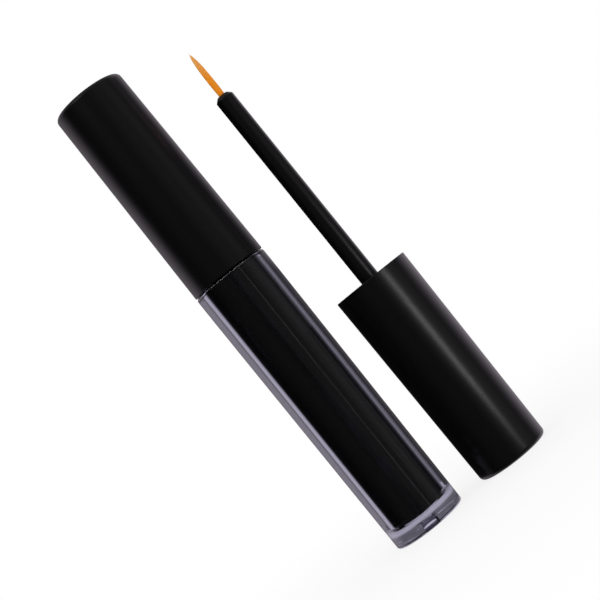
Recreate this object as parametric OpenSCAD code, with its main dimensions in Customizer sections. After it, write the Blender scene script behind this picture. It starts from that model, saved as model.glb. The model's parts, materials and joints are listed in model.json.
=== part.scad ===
// Dip liquid eyeliner: a thick-walled clear bottle that stands closed, and the
// same kind of applicator taken out and stood on its cap beside it, brush up.
// Z is up, z = 0 is the surface both stand on, and the origin is midway
// between them. The bottle is on the -X side and the loose applicator on +X.

/* [Bottle] */
// Height of the clear body, from the standing face to the shoulder
body_h = 62.95; // [50:0.05:90]
// Height of the straight band under the shoulder, above the drafted wall
band_h = 5.9; // [2:0.1:12]
// How much narrower the body's foot is than its shoulder, on the radius
body_draft = 0.35; // [0:0.05:0.8]
// Rounding of the shoulder's edge
shoulder_round = 0.45; // [0.2:0.05:0.8]
// Rounding of the foot's edge
foot_round = 0.5; // [0.2:0.05:0.9]
// Diameter of the cavity, which is also the neck's bore
cavity_d = 9.3; // [8.6:0.1:12]
// How much narrower the cavity is at its floor, on the radius
cavity_draft = 0.1; // [0:0.05:0.3]
// Rounding of the cavity's bottom corner
cavity_round = 1.1; // [0.5:0.1:2]
// Thickness of the clear floor
floor_t = 3.05; // [2:0.05:5]
// Depth of the recess moulded under the floor
recess_h = 0.4; // [0.2:0.05:0.7]
// Width of the flat ring that the bottle stands on
foot_ring_w = 0.9; // [0.6:0.05:1.6]
// Diameter of the moulding gate's well in the middle of the recess
gate_d = 3.2; // [2:0.1:4]
// Depth of the gate's well above the recess
gate_h = 1.3; // [0.5:0.05:1.4]

/* [Neck and thread] */
// Height of the neck above the shoulder
neck_h = 12; // [11:0.1:15]
// Wall of the neck
neck_wall = 1.05; // [0.8:0.05:1.6]
// Bevel of the neck's rim
neck_bevel = 0.25; // [0.1:0.05:0.4]
// Distance that the cap rises for one turn
thread_pitch = 1.8; // [1.6:0.05:2.2]
// How far the thread stands out of the neck
thread_depth = 0.75; // [0.6:0.05:0.9]
// Width of the thread at its foot
thread_foot_w = 1; // [0.8:0.05:1]
// Width of the thread at its crest
thread_crest_w = 0.5; // [0.4:0.05:0.6]
// Height of the thread's start above the shoulder
thread_start_h = 2.4; // [2.2:0.1:3]
// Turns that free the cap from the neck
unscrew_turns = 1.25; // [1:0.25:1.5]

/* [Wiper] */
// Length of the wiper's tube inside the neck
wiper_len = 9.5; // [7:0.1:11]
// Wall of the wiper's tube
wiper_wall = 0.9; // [0.6:0.05:1.1]
// Thickness of the wiper's flange on the neck's rim
wiper_flange_t = 0.6; // [0.4:0.05:1]
// Length of the wiping lip's bore
wiper_lip_h = 0.5; // [0.3:0.05:1]
// Height of the cone that leads down to the lip
wiper_cone_h = 2.6; // [1.5:0.1:4]

/* [Liquid] */
// Air left between the liquid and the wiper's lip
air_gap = 1.2; // [0.5:0.1:4]

/* [Stem and brush] */
// Diameter of the stem
stem_d = 4; // [3.2:0.1:4.6]
// Bevel of the stem's tip
stem_bevel = 0.8; // [0.3:0.05:0.95]
// How far the stem's head stands out around the shaft
stem_head_lip = 1.1; // [0.8:0.05:1.4]
// Height of the stem's head
stem_head_h = 2.9; // [2:0.1:4]
// Length of the brush beyond the stem
brush_len = 10.4; // [7:0.1:13]
// Diameter of the brush where it leaves the stem
brush_d = 1.26; // [0.9:0.02:1.6]
// Depth of the brush's root in the stem
brush_root_h = 2; // [1:0.1:4]
// Space between the brush's tip and the cavity's floor
tip_gap = 3.1; // [2:0.1:8]

/* [Gasket] */
// Thickness of the loose sealing washer
gasket_t = 1; // [0.6:0.05:1.6]
// How far the washer reaches over the bead that holds it
gasket_hold = 0.25; // [0.15:0.05:0.35]

/* [Inner cap] */
// Wall of the inner cap behind its thread
inner_wall = 0.65; // [0.5:0.05:1]
// Height of the bead that keeps the washer in
bead_h = 0.45; // [0.3:0.05:0.8]
// Thickness of the web that the stem hangs from
web_t = 1.95; // [1.2:0.05:3]
// Wall of the boss around the stem's head
boss_wall = 1.2; // [0.8:0.05:1.5]
// Height of the snap lip over the stem's head
snap_h = 0.5; // [0.3:0.05:0.8]
// How far the snap lip reaches over the stem's head
snap_hold = 0.15; // [0.1:0.05:0.3]
// Height of the inner cap's rim above its boss
crown_h = 1.65; // [1:0.05:3]
// Wall of the inner cap's crown around the boss
crown_wall = 1; // [0.7:0.05:1.2]
// Distance of the inner cap's skirt above the outer cap's mouth
skirt_gap = 0.45; // [0.3:0.05:1]
// Height of the splines that stop the inner cap from turning
spline_h = 0.2; // [0.1:0.05:0.3]
// Width of one spline
spline_w = 0.9; // [0.5:0.05:1.5]

/* [Outer cap] */
// Length of the outer cap
cap_len = 44.95; // [36:0.05:60]
// Wall of the outer cap at its mouth
mouth_wall = 1; // [0.8:0.05:1.4]
// How much narrower the cap's closed end is than its mouth, on the radius
cap_draft = 0.45; // [0:0.05:0.7]
// Wall of the outer cap at its closed end
end_wall = 1.2; // [0.8:0.05:1.8]
// Thickness of the cap's closed end
end_t = 1.5; // [1:0.1:3]
// Rounding of the cap's closed end
end_round = 0.95; // [0.4:0.05:1.2]
// Width of the step that the inner cap seats against
cap_step_w = 0.45; // [0.3:0.05:0.7]
// Gap between the cap's mouth and the bottle's shoulder
cap_gap = 0.25; // [0.2:0.05:0.5]

/* [Set] */
// Gap between the bottle and the loose applicator's cap
pair_gap = 4.5; // [2:0.05:20]

/* [Hidden] */
$fn = 96;

// Clearances: a running fit, faces that seat, pieces fixed in each other,
// the thread's radial play, and the play around the washer and the stem
run_clear = 0.06;
seat_clear = 0.05;
fix_clear = 0.03;
thread_clear = 0.15;
loose_clear = 0.35;
overrun = 1;
edge_bevel = 0.15;

// Counts
arc_steps = 8;
thread_facets = 20;
spline_count = 8;
tuft_rings = 8;

// Radii, from the cavity outwards
cavity_r = cavity_d / 2;
neck_r = cavity_r + neck_wall;
thread_r = neck_r + thread_depth;
skirt_bore_r = thread_r + thread_clear;
inner_r = skirt_bore_r + inner_wall;
cap_bore_r = inner_r + seat_clear;
mouth_r = cap_bore_r + mouth_wall;
end_r = mouth_r - cap_draft;
shoulder_r = mouth_r;
foot_r = shoulder_r - body_draft;
cavity_foot_r = cavity_r - cavity_draft;
recess_r = foot_r - foot_round - foot_ring_w;
gate_r = gate_d / 2;
bead_r = neck_r + thread_clear;
gasket_r = bead_r + gasket_hold;
pocket_r = gasket_r + thread_clear;
stem_r = stem_d / 2;
run_r = stem_r + run_clear;
gasket_bore_r = stem_r + loose_clear;
head_r = stem_r + stem_head_lip;
socket_r = head_r + run_clear;
boss_r = socket_r + boss_wall;
crown_r = inner_r - crown_wall;
wiper_r = cavity_r - fix_clear;
wiper_bore_r = wiper_r - wiper_wall;
wiper_flange_r = neck_r - edge_bevel;
brush_r = brush_d / 2;
brush_bore_r = brush_r + fix_clear;

// Heights, from the standing face up
neck_top = body_h + neck_h;
wiper_top = neck_top + seat_clear + wiper_flange_t;
lip_z = neck_top - wiper_len;
liquid_top = lip_z - air_gap;
mouth_z = body_h + cap_gap;
total_h = mouth_z + cap_len;
rise = thread_pitch * unscrew_turns;
gasket_z = wiper_top + seat_clear;
gasket_top = gasket_z + gasket_t;
bead_top = gasket_z - rise - seat_clear;
web_z = gasket_top + seat_clear;
web_top = web_z + web_t;
head_z = web_top + seat_clear;
head_top = head_z + stem_head_h;
snap_z = head_top + seat_clear;
boss_top = snap_z + snap_h;
crown_top = boss_top + crown_h;
step_z = crown_top + seat_clear;
skirt_z = mouth_z + skirt_gap;
brush_tip_z = floor_t + tip_gap;
stem_tip_z = brush_tip_z + brush_len;
thread_z = body_h + thread_start_h;

// The thread runs a little longer than the turns that free it
thread_lead_turns = 0.1;
thread_turns = unscrew_turns + thread_lead_turns;
cap_thread_z = thread_z - thread_pitch / 2 + thread_pitch * thread_lead_turns;
cap_thread_angle = 360 * thread_lead_turns;
thread_sink = 0.3;

// Distance of each axis from the middle of the set
axis_x = mouth_r + pair_gap / 2;

// The brush narrows towards its tip, and its outer hairs are the shorter ones
tuft_taper_share = 0.5;
tuft_short_share = 0.2;
hair_height_shares = [0, 0.45, 0.8];
hair_width_shares = [1, 0.8, 0.6];
tuft_taper_power = 3.5;

black = "#19181a";
clear = [0.80, 0.79, 0.87, 0.35];
milky = "#e9e7e2";
ink = "#0c0b0e";
amber = "#e8901c";

// Points of an arc about c, from angle a0 to angle a1
function arc(c, r, a0, a1) =
    [for (i = [0:arc_steps]) let (a = a0 + (a1 - a0) * i / arc_steps)
        [c[0] + r * cos(a), c[1] + r * sin(a)]];

// Places of the closed set and of the loose applicator, turned upside down
module closed() translate([-axis_x, 0, 0]) children();
module loose() translate([axis_x, 0, total_h]) rotate([180, 0, 0]) children();

// One helical ridge on a wall. side is 1 on the outside of a neck and -1 on
// the inside of a cap. Its ends sink into the wall.
module ridge(wall_r, z, start_angle, side) {
    steps = ceil(thread_facets * thread_turns);
    fade = 4;
    flank = (thread_foot_w - thread_crest_w) * thread_sink / thread_depth;
    root_r = wall_r - side * thread_sink;
    root_half = (thread_foot_w + flank) / 2;
    crest_half = thread_crest_w / 2;
    points = [for (i = [0:steps])
        let (a = start_angle + 360 * thread_turns * i / steps,
             h = z + thread_pitch * thread_turns * i / steps,
             grown = min(1, i / fade, (steps - i) / fade),
             crest_r = wall_r + side * (thread_depth * grown - thread_sink / 2 * (1 - grown)))
        each [[root_r * cos(a), root_r * sin(a), h - root_half],
              [crest_r * cos(a), crest_r * sin(a), h - crest_half],
              [crest_r * cos(a), crest_r * sin(a), h + crest_half],
              [root_r * cos(a), root_r * sin(a), h + root_half]]];
    last = 4 * steps;
    walls = [for (i = [0:steps - 1], k = [0:3])
        let (a = 4 * i + k, b = 4 * i + (k + 1) % 4)
        each [[a, b, b + 4], [a, b + 4, a + 4]]];
    ends = [[0, 2, 1], [0, 3, 2], [last, last + 1, last + 2], [last, last + 2, last + 3]];
    faces = concat(walls, ends);
    polyhedron(points, side > 0 ? faces : [for (f = faces) [f[2], f[1], f[0]]]);
}

// Clear body and neck, one moulding
module bottle_shape() {
    rotate_extrude() polygon(concat(
        [[0, recess_h + gate_h], [gate_r, recess_h + gate_h], [gate_r, recess_h],
         [recess_r - recess_h, recess_h], [recess_r, 0]],
        arc([foot_r - foot_round, foot_round], foot_round, -90, 0),
        [[shoulder_r, body_h - band_h]],
        arc([shoulder_r - shoulder_round, body_h - shoulder_round], shoulder_round, 0, 90),
        [[neck_r, body_h], [neck_r, neck_top - neck_bevel], [neck_r - neck_bevel, neck_top],
         [cavity_r, neck_top], [cavity_r, lip_z]],
        arc([cavity_foot_r - cavity_round, floor_t + cavity_round], cavity_round, 0, -90),
        [[0, floor_t]]));
    ridge(neck_r, thread_z, 0, 1);
}

// Soft insert that wipes the stem
module wiper_shape() {
    rotate_extrude() polygon([
        [run_r, lip_z], [run_r + wiper_lip_h, lip_z], [wiper_r, lip_z + wiper_cone_h],
        [wiper_r, neck_top + seat_clear], [wiper_flange_r, neck_top + seat_clear],
        [wiper_flange_r, wiper_top], [wiper_bore_r + edge_bevel, wiper_top],
        [wiper_bore_r, wiper_top - edge_bevel],
        [wiper_bore_r, lip_z + wiper_cone_h + wiper_lip_h], [run_r, lip_z + wiper_lip_h]]);
}

// The liquid, with room for the stem and the brush
module liquid_shape() {
    r = cavity_r - fix_clear;
    foot = cavity_foot_r - fix_clear;
    low = floor_t + fix_clear;
    channel_r = stem_r + loose_clear;
    brush_channel_r = brush_r + loose_clear;
    rotate_extrude() polygon(concat(
        [[0, low]],
        arc([foot - cavity_round, low + cavity_round], cavity_round, -90, 0),
        [[r, liquid_top], [channel_r, liquid_top], [channel_r, stem_tip_z - loose_clear],
         [brush_channel_r, stem_tip_z - loose_clear],
         [brush_channel_r, brush_tip_z - loose_clear], [0, brush_tip_z - loose_clear]]));
}

// Loose sealing washer between the wiper's flange and the inner cap's web
module gasket_shape() {
    difference() {
        translate([0, 0, gasket_z]) cylinder(r = gasket_r, h = gasket_t);
        translate([0, 0, gasket_z - overrun]) cylinder(r = gasket_bore_r, h = gasket_t + 2 * overrun);
    }
}

// Moulded rod, with its head above and the brush's socket below
module stem_shape() {
    rotate_extrude() polygon([
        [0, stem_tip_z + brush_root_h + fix_clear],
        [brush_bore_r, stem_tip_z + brush_root_h + fix_clear], [brush_bore_r, stem_tip_z],
        [stem_r - stem_bevel, stem_tip_z], [stem_r, stem_tip_z + stem_bevel],
        [stem_r, head_z], [head_r, head_z], [head_r, head_top - edge_bevel],
        [head_r - edge_bevel, head_top], [0, head_top]]);
}

// Hairs on a slice of their root, as one mesh about its own axis, with the
// root's top at z = 0 and the hairs upwards. The root's top is a hexagonal net
// laid out on a disc. Every second triangle of the net grows into a hair.
module tuft() {
    n = tuft_rings;
    disc = [for (k = [0:n], i = [0:max(6 * k - 1, 0)])
        let (a = k == 0 ? 0 : 60 * i / k)
        [brush_r * k / n * cos(a), brush_r * k / n * sin(a), 0]];
    rim = 1 + 3 * n * (n - 1);
    outward = [for (k = [1:n], s = [0:5], t = [0:k - 1])
        [net(k, s * k + t), net(k, s * k + t + 1), net(k - 1, s * (k - 1) + t), s % 2]];
    inward = [for (k = [2:n], s = [0:5], t = [0:k - 2])
        [net(k - 1, s * (k - 1) + t + 1), net(k - 1, s * (k - 1) + t), net(k, s * k + t + 1), 1 - s % 2]];
    cells = concat(outward, inward);
    flat = [for (c = cells) if (c[3] == 1) [c[2], c[1], c[0]]];
    hairs = [for (c = cells) if (c[3] == 0) [c[0], c[1], c[2]]];
    levels = len(hair_height_shares);
    hair_points = [for (h = hairs)
        let (corners = [for (i = h) disc[i]],
             middle = (corners[0] + corners[1] + corners[2]) / 3,
             reach = norm(middle) / brush_r,
             length = brush_len * (1 - tuft_short_share * reach * reach))
        each concat(
            [for (j = [1:levels - 1], c = corners)
                let (up = length * hair_height_shares[j], draw = tuft_draw(up / brush_len))
                [middle[0] * draw + (c[0] - middle[0]) * draw * hair_width_shares[j],
                 middle[1] * draw + (c[1] - middle[1]) * draw * hair_width_shares[j], up]],
            [[middle[0] * tuft_draw(length / brush_len), middle[1] * tuft_draw(length / brush_len),
              length]])];
    per_hair = 3 * (levels - 1) + 1;
    first = len(disc);
    hair_faces = [for (m = [0:len(hairs) - 1])
        let (from = first + m * per_hair, tip = from + per_hair - 1)
        each concat(
            [for (j = [0:levels - 2], k = [0:2])
                let (low = j == 0 ? hairs[m] : [for (i = [0:2]) from + 3 * (j - 1) + i],
                     high = [for (i = [0:2]) from + 3 * j + i], l = (k + 1) % 3)
                each [[low[k], high[l], low[l]], [low[k], high[k], high[l]]]],
            [for (k = [0:2]) [from + per_hair - 4 + k, tip, from + per_hair - 4 + (k + 1) % 3]])];
    under = first + len(hair_points);
    under_points = [for (i = [rim:first - 1]) [disc[i][0], disc[i][1], -brush_root_h]];
    round_count = 6 * n;
    root_faces = [for (i = [0:round_count - 1])
        let (j = (i + 1) % round_count)
        each [[rim + i, rim + j, under + i], [rim + j, under + j, under + i]]];
    bottom_faces = [for (i = [1:round_count - 2]) [under, under + i, under + i + 1]];
    polyhedron(concat(disc, hair_points, under_points),
               concat(flat, hair_faces, root_faces, bottom_faces));
}

// Number of the net's point i on ring k
function net(k, i) = k == 0 ? 0 : 1 + 3 * k * (k - 1) + i % (6 * k);

// How far the hairs are drawn in at a share of the brush's length
function tuft_draw(at) = 1 - tuft_taper_share * pow(at, tuft_taper_power);

module brush_shape() translate([0, 0, stem_tip_z]) rotate([180, 0, 0]) tuft();

// Threaded insert that holds the washer and the stem's head
module inner_cap_shape() {
    rotate_extrude() polygon([
        [skirt_bore_r + edge_bevel, skirt_z], [inner_r, skirt_z], [inner_r, crown_top],
        [crown_r, crown_top], [crown_r, web_top], [boss_r, web_top], [boss_r, boss_top],
        [socket_r - snap_hold, boss_top], [socket_r - snap_hold, snap_z], [socket_r, snap_z],
        [socket_r, web_top], [run_r, web_top], [run_r, web_z], [pocket_r, web_z],
        [pocket_r, bead_top], [bead_r, bead_top], [bead_r, bead_top - bead_h],
        [skirt_bore_r, bead_top - bead_h - (skirt_bore_r - bead_r)],
        [skirt_bore_r, skirt_z + edge_bevel]]);
    ridge(skirt_bore_r, cap_thread_z, cap_thread_angle, -1);
    splines(inner_r - fix_clear, spline_h + fix_clear, spline_w, bead_top, crown_top);
}

// Ribs around a round wall, from radius r outwards and from z0 to z1
module splines(r, h, w, z0, z1) {
    for (i = [0:spline_count - 1])
        rotate([0, 0, 360 * i / spline_count]) translate([r, -w / 2, z0]) cube([h, w, z1 - z0]);
}

// Matt black sleeve that the hand holds
module outer_cap_shape() {
    difference() {
        rotate_extrude() polygon(concat(
            [[cap_bore_r + edge_bevel, mouth_z], [mouth_r - edge_bevel, mouth_z],
             [mouth_r, mouth_z + edge_bevel]],
            arc([end_r - end_round, total_h - end_round], end_round, 0, 90),
            [[0, total_h], [0, total_h - end_t], [end_r - end_wall, total_h - end_t],
             [cap_bore_r - cap_step_w, step_z], [cap_bore_r, step_z],
             [cap_bore_r, mouth_z + edge_bevel]]));
        splines(inner_r - fix_clear, spline_h + fix_clear + seat_clear, spline_w + 2 * seat_clear,
                bead_top - seat_clear, step_z);
    }
}

module bottle() color(clear) closed() bottle_shape();
module wiper() color(milky) closed() wiper_shape();
module liquid() color(ink) closed() liquid_shape();
module gasket() color(milky) closed() gasket_shape();
module stem() color(black) closed() stem_shape();
module brush() color(amber) closed() brush_shape();
module inner_cap() color(black) closed() inner_cap_shape();
module outer_cap() color(black) closed() outer_cap_shape();
module loose_gasket() color(milky) loose() gasket_shape();
module loose_stem() color(black) loose() stem_shape();
module loose_brush() color(amber) loose() brush_shape();
module loose_inner_cap() color(black) loose() inner_cap_shape();
module loose_outer_cap() color(black) loose() outer_cap_shape();

bottle();
wiper();
liquid();
gasket();
stem();
brush();
inner_cap();
outer_cap();
loose_gasket();
loose_stem();
loose_brush();
loose_inner_cap();
loose_outer_cap();
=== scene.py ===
"""Liquid eyeliner bottle, closed, with the same applicator standing loose beside it.

Every piece is turned, swept or bristled about one of two upright axes, whose places come from the frame.
Lengths are in metres, and heights are over the surface that both items stand on.
"""

import json
import math
import random

import bmesh
import bpy
from mathutils import Matrix, Vector

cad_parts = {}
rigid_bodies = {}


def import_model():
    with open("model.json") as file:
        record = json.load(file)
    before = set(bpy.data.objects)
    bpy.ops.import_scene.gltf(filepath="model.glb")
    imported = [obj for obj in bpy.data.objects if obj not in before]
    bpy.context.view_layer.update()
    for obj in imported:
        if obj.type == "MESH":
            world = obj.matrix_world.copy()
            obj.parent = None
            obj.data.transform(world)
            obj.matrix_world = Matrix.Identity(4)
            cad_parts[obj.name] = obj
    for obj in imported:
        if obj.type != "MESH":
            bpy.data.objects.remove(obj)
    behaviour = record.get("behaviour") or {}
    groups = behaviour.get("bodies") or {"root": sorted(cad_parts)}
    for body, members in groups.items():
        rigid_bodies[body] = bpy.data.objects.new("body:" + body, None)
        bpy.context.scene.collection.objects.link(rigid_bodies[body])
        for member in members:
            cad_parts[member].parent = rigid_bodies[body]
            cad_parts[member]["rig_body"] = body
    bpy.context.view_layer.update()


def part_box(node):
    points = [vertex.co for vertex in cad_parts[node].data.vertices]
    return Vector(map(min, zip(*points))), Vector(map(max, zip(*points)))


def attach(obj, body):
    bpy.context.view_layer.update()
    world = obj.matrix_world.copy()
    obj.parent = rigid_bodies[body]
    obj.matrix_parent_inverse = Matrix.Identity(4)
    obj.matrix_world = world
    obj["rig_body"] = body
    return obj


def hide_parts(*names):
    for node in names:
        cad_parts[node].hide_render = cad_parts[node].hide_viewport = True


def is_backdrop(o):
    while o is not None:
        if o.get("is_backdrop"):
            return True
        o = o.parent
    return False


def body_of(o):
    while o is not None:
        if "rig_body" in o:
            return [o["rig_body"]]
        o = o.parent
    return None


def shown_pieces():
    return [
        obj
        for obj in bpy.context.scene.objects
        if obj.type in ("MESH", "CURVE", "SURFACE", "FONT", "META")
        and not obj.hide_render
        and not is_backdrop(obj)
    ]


bl_info = {
    "name": "Liquid Eyeliner Bottle",
    "version": (1, 0, 0),
    "blender": (4, 5, 0),
    "location": "View3D > Sidebar > Eyeliner",
    "description": "Builds a clear eyeliner bottle with its screw cap, stem and brush",
    "category": "Object",
}

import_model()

BOTTLE_LOW, BOTTLE_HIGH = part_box("bottle")
WIPER_LOW, WIPER_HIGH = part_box("wiper")
LIQUID_LOW, LIQUID_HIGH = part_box("liquid")
WASHER_LOW, WASHER_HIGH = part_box("gasket")
STEM_LOW, STEM_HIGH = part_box("stem")
BRUSH_LOW, BRUSH_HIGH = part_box("brush")
INNER_LOW, INNER_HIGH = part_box("inner_cap")
CAP_LOW, CAP_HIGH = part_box("outer_cap")
LOOSE_LOW, LOOSE_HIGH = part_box("loose_outer_cap")

UPSIDE_DOWN = Matrix.Rotation(math.pi, 4, "X")
CLOSED_X = (BOTTLE_LOW.x + BOTTLE_HIGH.x) / 2
LOOSE_X = (LOOSE_LOW.x + LOOSE_HIGH.x) / 2
CLOSED_PLACE = Matrix.Translation((CLOSED_X, 0, 0))
LOOSE_PLACE = Matrix.Translation((LOOSE_X, 0, CAP_HIGH.z)) @ UPSIDE_DOWN

FULL_TURN = 2 * math.pi
GOLDEN_TURN = math.pi * (3 - math.sqrt(5))
# Points nearer to each other than this are one.
SAME_PLACE = 1e-6
# An edge stays sharp where its faces turn by more than this.
SHARP_ANGLE = math.radians(38)
# Steps in one turn
ROUND_STEPS = 192
THREAD_STEPS = 96
FLOOR_STEPS = 96
# Segments of a rounded edge
EDGE_SEGMENTS = 3
MOUTH_SEGMENTS = 4
CORNER_SEGMENTS = 6
CAVITY_SEGMENTS = 8
END_SEGMENTS = 10
# Rings of the gate's flat top, and the seed of its unevenness
GATE_RINGS = 6
GATE_SEED = 3


def radius_of(low, high):
    """Radius of a round node, from its box."""
    return (high.x - low.x) / 2


def linear(value):
    """An sRGB hex colour as linear red, green, blue and alpha."""
    shares = [int(value[i : i + 2], 16) / 255 for i in (1, 3, 5)]
    return [s / 12.92 if s <= 0.04045 else ((s + 0.055) / 1.055) ** 2.4 for s in shares] + [1.0]


def size(name, description, default):
    """A length in metres that a user may change."""
    return bpy.props.FloatProperty(
        name=name, description=description, default=default, min=0, unit="LENGTH", precision=5
    )


def colour(name, description, default):
    """A colour that a user may change."""
    return bpy.props.FloatVectorProperty(
        name=name, description=description, default=linear(default), size=4, min=0, max=1,
        subtype="COLOR",
    )


def angle(name, description, degrees):
    """An angle that a user may change."""
    return bpy.props.FloatProperty(
        name=name, description=description, default=math.radians(degrees), subtype="ANGLE"
    )


def count(name, description, default, least):
    """A number of like things that a user may change."""
    return bpy.props.IntProperty(name=name, description=description, default=default, min=least)


def power(name, description, default):
    """A lamp's power in watts that a user may change."""
    return bpy.props.FloatProperty(
        name=name, description=description, default=default, min=0, unit="POWER", precision=4
    )


class EyelinerBottle(bpy.types.PropertyGroup):
    """Sizes of the clear bottle and of the liquid in it"""

    shoulder_gap: size("Shoulder gap", "Gap between the shoulder and the cap's mouth", 0.00025)
    shoulder_radius: size("Shoulder radius", "Radius of the band", radius_of(BOTTLE_LOW, BOTTLE_HIGH))
    foot_radius: size("Foot radius", "Radius of the body at its foot", 0.00795)
    band_height: size("Band height", "Straight band under the shoulder", 0.0059)
    shoulder_round: size("Shoulder rounding", "Rounding of the shoulder's edge", 0.00045)
    foot_round: size("Foot rounding", "Rounding of the foot's edge", 0.0005)
    neck_top: size("Neck top", "Height of the neck's rim", BOTTLE_HIGH.z)
    neck_radius: size("Neck radius", "Radius of the neck behind its thread", 0.0057)
    neck_bevel: size("Neck bevel", "Bevel of the neck's rim", 0.00025)
    cavity_radius: size("Cavity radius", "Radius of the cavity and of the neck's bore", 0.00465)
    cavity_foot_radius: size("Cavity foot", "Radius of the cavity at its floor", 0.00455)
    cavity_round: size("Cavity rounding", "Rounding of the cavity's bottom corner", 0.0011)
    floor: size("Floor", "Thickness of the clear floor", 0.00305)
    recess_radius: size("Recess radius", "Radius of the recess under the floor", 0.00655)
    recess_height: size("Recess height", "Depth of the recess under the floor", 0.0004)
    gate_radius: size("Gate radius", "Radius of the moulding gate's well", 0.0016)
    gate_depth: size("Gate depth", "Depth of the gate's well above the recess", 0.0013)
    gate_scar: size("Gate scar", "How uneven the broken gate is", 0.00012)
    thread_start: size("Thread start", "Height of the thread's start above the shoulder", 0.0024)
    wetting: size("Wetting", "How far the liquid reaches into the wall that it wets", 0.00002)
    liquid_top: size("Liquid level", "Height of the liquid's surface", LIQUID_HIGH.z)
    stem_room: size("Room for the stem", "Radius of the space in the liquid", 0.00235)
    brush_room: size("Room for the brush", "Radius of the space in the liquid", 0.00098)
    tip_room: size("Room at the tips", "Space left under the stem and the brush", 0.0008)


class EyelinerThread(bpy.types.PropertyGroup):
    """Sizes of the screw thread on the neck and in the inner cap"""

    pitch: size("Pitch", "Rise for one turn", 0.0018)
    depth: size("Depth", "How far the ridge stands out", 0.00075)
    foot_width: size("Foot width", "Width of the ridge at its foot", 0.001)
    crest_width: size("Crest width", "Width of the ridge at its crest", 0.0005)
    crest_round: size("Crest rounding", "Rounding of the crest's two edges", 0.00011)
    sink: size("Sink", "How far the ridge's foot reaches into its wall", 0.0003)
    length: angle("Length", "Angle that one ridge runs through", 486)
    lead: angle("Lead", "Angle that the cap's ridge starts after the neck's", 36)
    run_out: angle("Run-out", "Angle over which an end of the ridge sinks into its wall", 60)


class EyelinerSeals(bpy.types.PropertyGroup):
    """Sizes of the soft wiper in the neck and of the loose sealing washer"""

    flange_radius: size("Flange radius", "Radius of the wiper's flange", radius_of(WIPER_LOW, WIPER_HIGH))
    flange: size("Flange", "Thickness of the wiper's flange", 0.0006)
    tube_radius: size("Tube radius", "Radius of the wiper's tube", 0.00462)
    bore_radius: size("Bore radius", "Radius of the tube's bore", 0.00372)
    lip_radius: size("Lip radius", "Radius of the wiping lip's bore", 0.00206)
    lip: size("Lip", "Height of the wiping lip's bore", 0.0005)
    cone: size("Cone", "Height of the cone that leads down to the lip", 0.0026)
    edge: size("Edge", "Bevel of the small edges", 0.00015)
    washer_bore: size("Washer bore", "Radius of the washer's hole", 0.00235)


class EyelinerStem(bpy.types.PropertyGroup):
    """Sizes of the stem and its brush"""

    radius: size("Radius", "Radius of the stem", 0.002)
    tip_bevel: size("Tip bevel", "Bevel of the stem's tip", 0.0008)
    tip_round: size("Tip rounding", "Rounding of the bevel's two edges", 0.00012)
    head_radius: size("Head radius", "Radius of the stem's head", radius_of(STEM_LOW, STEM_HIGH))
    head: size("Head", "Height of the stem's head", 0.0029)
    head_edge: size("Head edge", "Bevel of the head", 0.00015)
    socket_radius: size("Socket radius", "Radius of the brush's socket", 0.00066)
    socket: size("Socket", "Depth of the brush's socket", 0.00203)
    brush_radius: size("Brush radius", "Radius of the tuft at its root", radius_of(BRUSH_LOW, BRUSH_HIGH))
    root: size("Root", "Length of the hairs inside the stem", 0.002)
    # Real hairs are finer and there are more of them. These are as coarse as they need to be to show.
    hair_radius: size("Hair radius", "Radius of one hair at its root", 0.000036)
    hairs: count("Hairs", "Hairs in one tuft", 460, 30)


class EyelinerCap(bpy.types.PropertyGroup):
    """Sizes of the outer cap and of the threaded insert in it"""

    mouth_radius: size("Mouth radius", "Radius at the mouth", radius_of(CAP_LOW, CAP_HIGH))
    end_radius: size("End radius", "Radius at the closed end", 0.00785)
    end_round: size("End rounding", "Rounding of the closed end", 0.00095)
    end_wall: size("End wall", "Wall at the closed end", 0.0012)
    end: size("End", "Thickness of the closed end", 0.0015)
    bore_radius: size("Bore radius", "Radius of the outer cap's bore", 0.0073)
    step: size("Step", "Width of the step that the insert seats against", 0.00045)
    edge: size("Edge", "Bevel of the small edges", 0.00015)
    insert_radius: size("Insert radius", "Radius of the insert between its splines", 0.00725)
    thread_bore: size("Thread bore", "Radius of the bore that carries the thread", 0.0066)
    bead_radius: size("Bead radius", "Radius inside the bead that keeps the washer", 0.00585)
    bead: size("Bead", "Height of the bead", 0.00045)
    play: size("Play", "How far the cap rises before the bead lifts the washer", 0.00225)
    seat: size("Seat", "Clearance between faces that seat on each other", 0.00005)
    pocket_radius: size("Pocket radius", "Radius of the washer's pocket", 0.00625)
    web: size("Web", "Thickness of the web that the stem hangs from", 0.00195)
    boss_radius: size("Boss radius", "Radius of the boss round the stem's head", 0.00436)
    head_bore: size("Head bore", "Radius of the socket for the stem's head", 0.00316)
    snap_radius: size("Snap radius", "Radius inside the lip that holds the head", 0.00301)
    snap: size("Snap lip", "Height of the lip that holds the head", 0.0005)
    stem_bore: size("Stem bore", "Radius of the hole for the stem", 0.00206)
    crown_radius: size("Crown radius", "Radius inside the insert's crown", 0.00625)
    spline_height: size("Spline height", "How far a spline stands out", 0.0002)
    spline_width: size("Spline width", "Width of one spline", 0.0009)
    splines: count("Splines", "Splines round the insert", 8, 3)


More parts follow.
